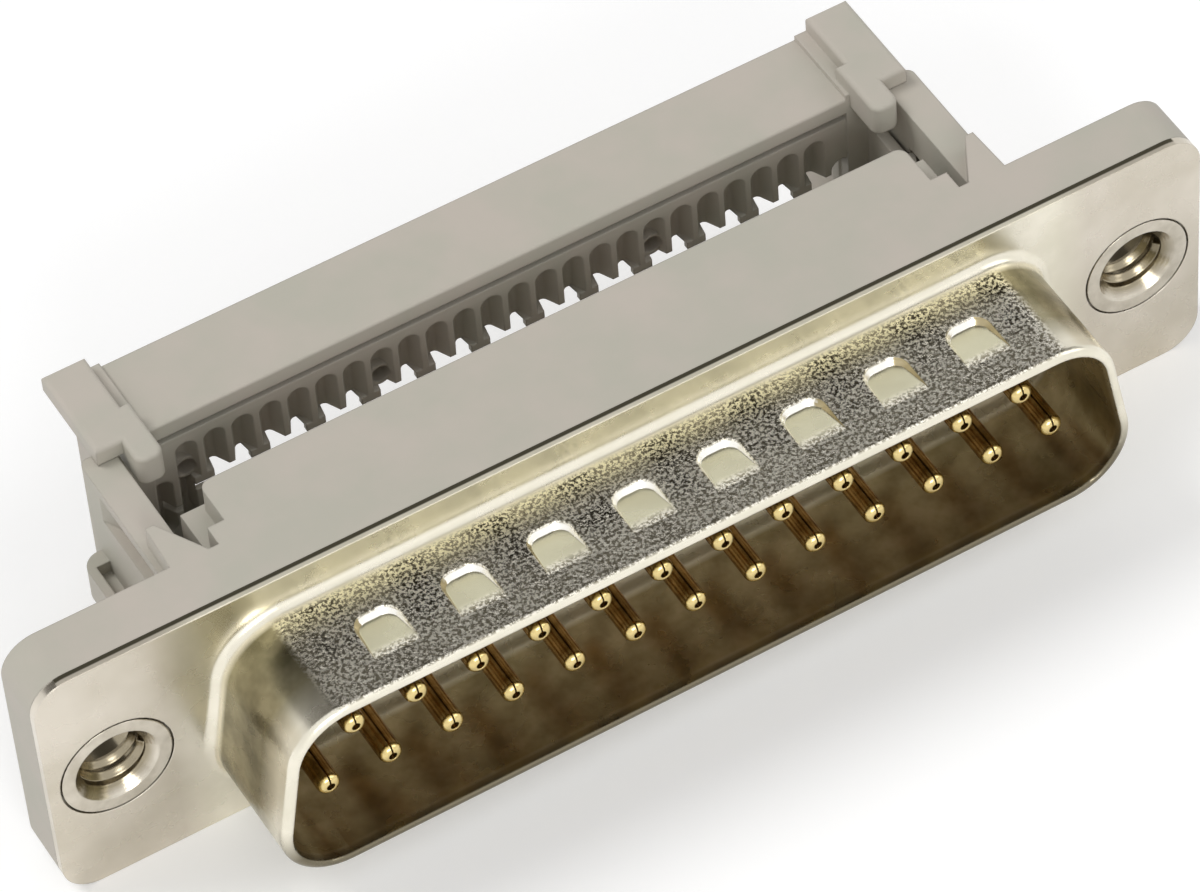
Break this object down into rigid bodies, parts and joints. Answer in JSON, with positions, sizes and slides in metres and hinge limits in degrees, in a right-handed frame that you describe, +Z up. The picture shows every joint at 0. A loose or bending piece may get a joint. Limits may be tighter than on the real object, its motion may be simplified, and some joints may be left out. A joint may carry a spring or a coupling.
{
  "type": "d-sub connector",
  "caption": "D-sub plug for flat ribbon cable: plated flange and D-shaped hood, gold pins, grey plastic body, threaded inserts and a sliding clamping cover.",
  "frame": {"origin": "middle of the front face of the metal flange, which is also the face of the insulator in the hood", "axes": "+X along the connector, -Y out of the hood towards the mating connector, +Z up, wide side of the D at -Z"},
  "size_m": [0.053, 0.0201, 0.0126],
  "materials": {
    "plated_shell": "satin nickel plate with a warm cast",
    "grey_plastic": "matte warm grey moulding",
    "plated_insert": "bright nickel plate",
    "gold": "polished gold plate"
  },
  "bodies": {
    "connector": {"front_shell": "plated_shell", "housing": "grey_plastic", "threaded_insert_left": "plated_insert", "threaded_insert_right": "plated_insert", "contact_01": "gold", "contact_02": "gold", "contact_03": "gold", "contact_04": "gold", "contact_05": "gold", "contact_06": "gold", "contact_07": "gold", "contact_08": "gold", "contact_09": "gold", "contact_10": "gold", "contact_11": "gold", "contact_12": "gold", "contact_13": "gold", "contact_14": "gold", "contact_15": "gold", "contact_16": "gold", "contact_17": "gold", "contact_18": "gold", "contact_19": "gold", "contact_20": "gold", "contact_21": "gold", "contact_22": "gold", "contact_23": "gold", "contact_24": "gold", "contact_25": "gold"},
    "cover": {"cover": "grey_plastic"}
  },
  "joints": [
    {"name": "cover_slide", "type": "slide", "parent": "connector", "child": "cover", "axis": [0, -1, 0], "range_m": [0, 0.0023]}
  ]
}
